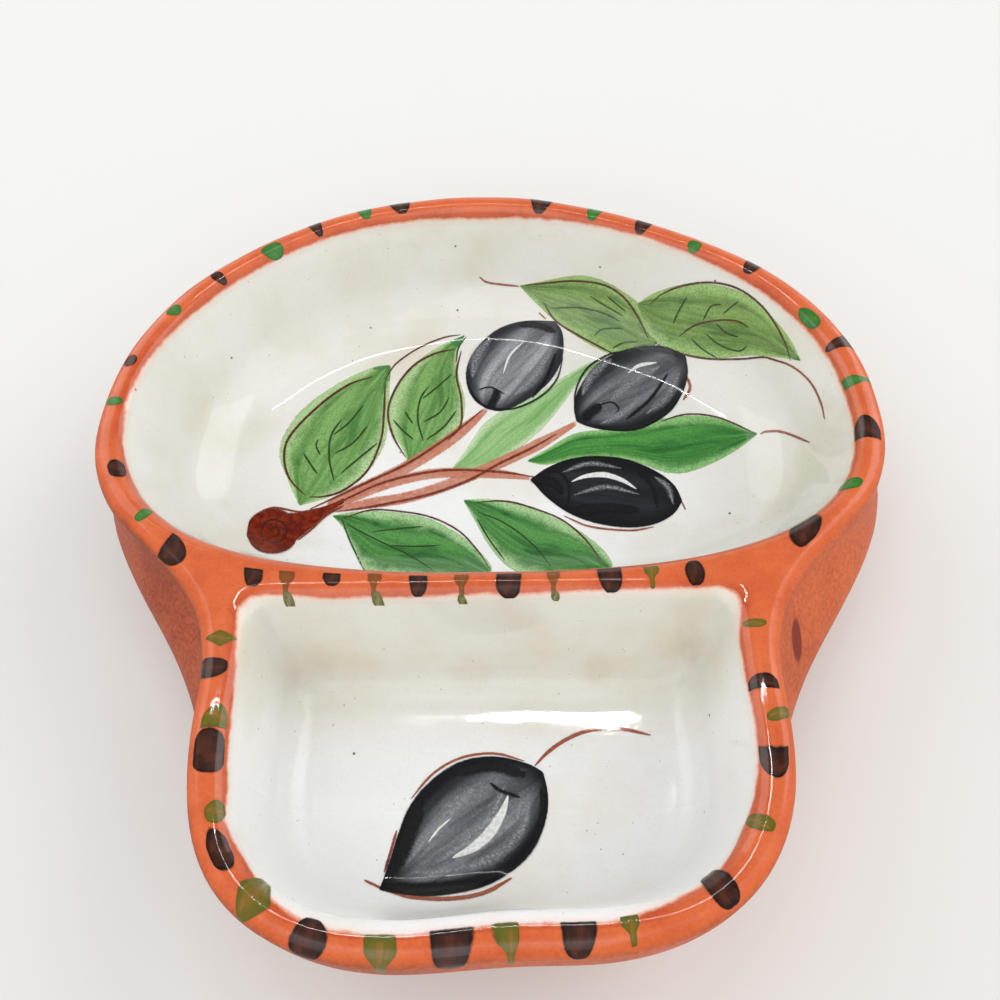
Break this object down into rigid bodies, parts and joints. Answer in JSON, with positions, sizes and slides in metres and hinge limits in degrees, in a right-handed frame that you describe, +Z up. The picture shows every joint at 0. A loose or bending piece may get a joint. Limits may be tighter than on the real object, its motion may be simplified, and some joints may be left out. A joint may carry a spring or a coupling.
{
  "type": "olive dish",
  "caption": "Oval glazed earthenware dish for olives with a small square-cornered pit tray joined to its front, white-slipped wells painted with an olive sprig and dabbed rims.",
  "frame": {"origin": "on the table under the middle of the dish's outline", "axes": "+Z up out of the wells, +Y from the pit tray towards the back of the oval bowl, +X to the right seen from the tray"},
  "size_m": [0.2028, 0.2137, 0.0443],
  "materials": {
    "glazed_redware": "clear glaze over red clay",
    "bare_redware": "unglazed red clay",
    "white_slip": "clear glaze over white slip",
    "brown_paint": "glossy underglaze brush stroke",
    "leaf_green_paint": "glossy underglaze brush stroke",
    "olive_black_paint": "glossy underglaze brush stroke",
    "dark_brown_paint": "glossy underglaze dab",
    "green_paint": "glossy underglaze dab"
  },
  "bodies": {
    "root": {"bowl_body": "glazed_redware", "tray_body": "glazed_redware", "foot_pad": "bare_redware", "bowl_slip": "white_slip", "tray_slip": "white_slip", "branch_knob": "brown_paint", "branch_stems": "brown_paint", "leaf_1": "leaf_green_paint", "leaf_2": "leaf_green_paint", "leaf_3": "leaf_green_paint", "leaf_4": "leaf_green_paint", "leaf_5": "leaf_green_paint", "leaf_6": "leaf_green_paint", "leaf_7": "leaf_green_paint", "leaf_8": "leaf_green_paint", "olive_1": "olive_black_paint", "olive_2": "olive_black_paint", "olive_3": "olive_black_paint", "tray_olive": "olive_black_paint", "tray_olive_stem": "brown_paint", "bowl_rim_brown": "dark_brown_paint", "bowl_rim_green": "green_paint", "divider_brown": "dark_brown_paint", "divider_green": "green_paint", "tray_rim_brown": "dark_brown_paint", "tray_rim_green": "green_paint"}
  },
  "joints": []
}
